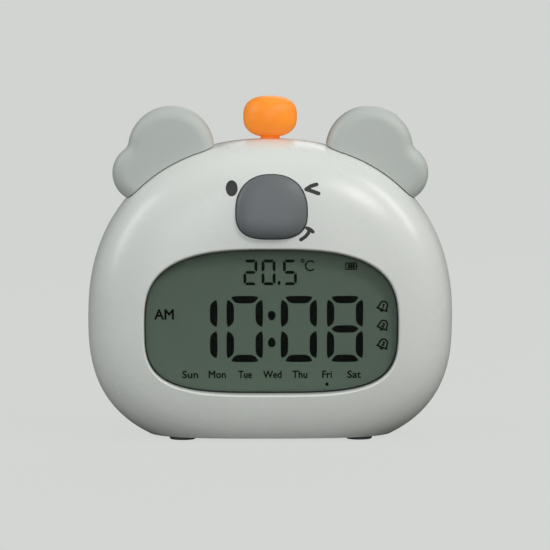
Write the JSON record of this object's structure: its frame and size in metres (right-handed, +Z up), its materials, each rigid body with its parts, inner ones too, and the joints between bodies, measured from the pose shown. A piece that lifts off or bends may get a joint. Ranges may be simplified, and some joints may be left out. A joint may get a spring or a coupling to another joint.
{
  "type": "alarm clock",
  "caption": "Tabletop alarm clock for a child: domed body with rounded ears, digital display in a recessed window, push-button nose and a glowing press lamp on top.",
  "frame": {"origin": "on the table surface under the middle of the clock's bounding box", "axes": "+X to the clock's left side as it faces the viewer's right hand, the face looks along -Y, +Z up"},
  "size_m": [0.1251, 0.0602, 0.1165],
  "materials": {
    "body_white": "satin moulded plastic, soft white",
    "ear_grey": "satin moulded plastic, pale grey",
    "nose_grey": "satin moulded plastic, mid grey",
    "lamp_orange": "translucent orange plastic with a soft sheen",
    "lens_clear": "clear flat window",
    "display_glass": "grey green liquid crystal glass",
    "white_plastic": "plain white plastic",
    "clear_plastic": "clear acrylic",
    "mirror_film": "mirror film",
    "foam_black": "closed cell foam",
    "feet_rubber": "matt rubber",
    "contact_rubber": "striped contact rubber",
    "board_green": "glass fibre board with solder mask",
    "part_black": "moulded black plastic",
    "steel": "bright plated steel",
    "magnet_dark": "sintered magnet",
    "paper_dark": "pressed paper cone",
    "cell_wrap": "shrink wrapped cell",
    "lamp_diode": "clear cast diode"
  },
  "bodies": {
    "housing": {"front_shell": "body_white", "rear_cover": "body_white", "window_lens": "lens_clear", "lcd_gasket": "foam_black", "lcd_panel": "display_glass", "lcd_diffuser": "white_plastic", "light_guide": "clear_plastic", "lcd_reflector": "mirror_film", "backlight_leds": "lamp_diode", "zebra_strip": "contact_rubber", "lcd_holder": "white_plastic", "main_board": "board_green", "board_components": "part_black", "board_screws": "steel", "nose_switch_body": "steel", "nose_board": "board_green", "nose_board_screws": "steel", "lamp_switch_body": "steel", "lamp_led": "lamp_diode", "lamp_board": "board_green", "lamp_board_screws": "steel", "right_ear": "ear_grey", "left_ear": "ear_grey", "right_ear_plate": "white_plastic", "left_ear_plate": "white_plastic", "ear_screws": "steel", "key_board": "board_green", "key_board_screws": "steel", "key_switch_bodies": "steel", "speaker_frame": "steel", "speaker_cone": "paper_dark", "speaker_magnet": "magnet_dark", "speaker_screws": "steel", "usb_socket": "steel", "charge_board": "board_green", "charge_board_screws": "steel", "battery_cell": "cell_wrap", "battery_cradle": "white_plastic", "rubber_feet": "feet_rubber", "cover_screws": "steel"},
    "lamp_button": {"lamp_cap": "lamp_orange", "lamp_collar": "white_plastic", "lamp_switch_plunger": "part_black"},
    "nose_button": {"nose_cap": "nose_grey", "nose_switch_plunger": "part_black"},
    "key_1": {"rear_key_1": "ear_grey", "key_plunger_1": "part_black"},
    "key_2": {"rear_key_2": "ear_grey", "key_plunger_2": "part_black"},
    "key_3": {"rear_key_3": "ear_grey", "key_plunger_3": "part_black"},
    "key_4": {"rear_key_4": "ear_grey", "key_plunger_4": "part_black"},
    "key_5": {"rear_key_5": "ear_grey", "key_plunger_5": "part_black"}
  },
  "joints": [
    {"name": "lamp_press", "type": "slide", "parent": "housing", "child": "lamp_button", "axis": [0, 0, -1], "range_m": [0, 0.0006], "stiffness_N_per_m": 900, "springref_m": -0.001},
    {"name": "nose_press", "type": "slide", "parent": "housing", "child": "nose_button", "axis": [0, 0.9905, -0.1374], "range_m": [0, 0.0008], "stiffness_N_per_m": 900, "springref_m": -0.001},
    {"name": "key_1_press", "type": "slide", "parent": "housing", "child": "key_1", "axis": [0, -1, 0], "range_m": [0, 0.0005], "stiffness_N_per_m": 900, "springref_m": -0.001},
    {"name": "key_2_press", "type": "slide", "parent": "housing", "child": "key_2", "axis": [0, -1, 0], "range_m": [0, 0.0005], "stiffness_N_per_m": 900, "springref_m": -0.001},
    {"name": "key_3_press", "type": "slide", "parent": "housing", "child": "key_3", "axis": [0, -1, 0], "range_m": [0, 0.0005], "stiffness_N_per_m": 900, "springref_m": -0.001},
    {"name": "key_4_press", "type": "slide", "parent": "housing", "child": "key_4", "axis": [0, -1, 0], "range_m": [0, 0.0005], "stiffness_N_per_m": 900, "springref_m": -0.001},
    {"name": "key_5_press", "type": "slide", "parent": "housing", "child": "key_5", "axis": [0, -1, 0], "range_m": [0, 0.0005], "stiffness_N_per_m": 900, "springref_m": -0.001}
  ]
}
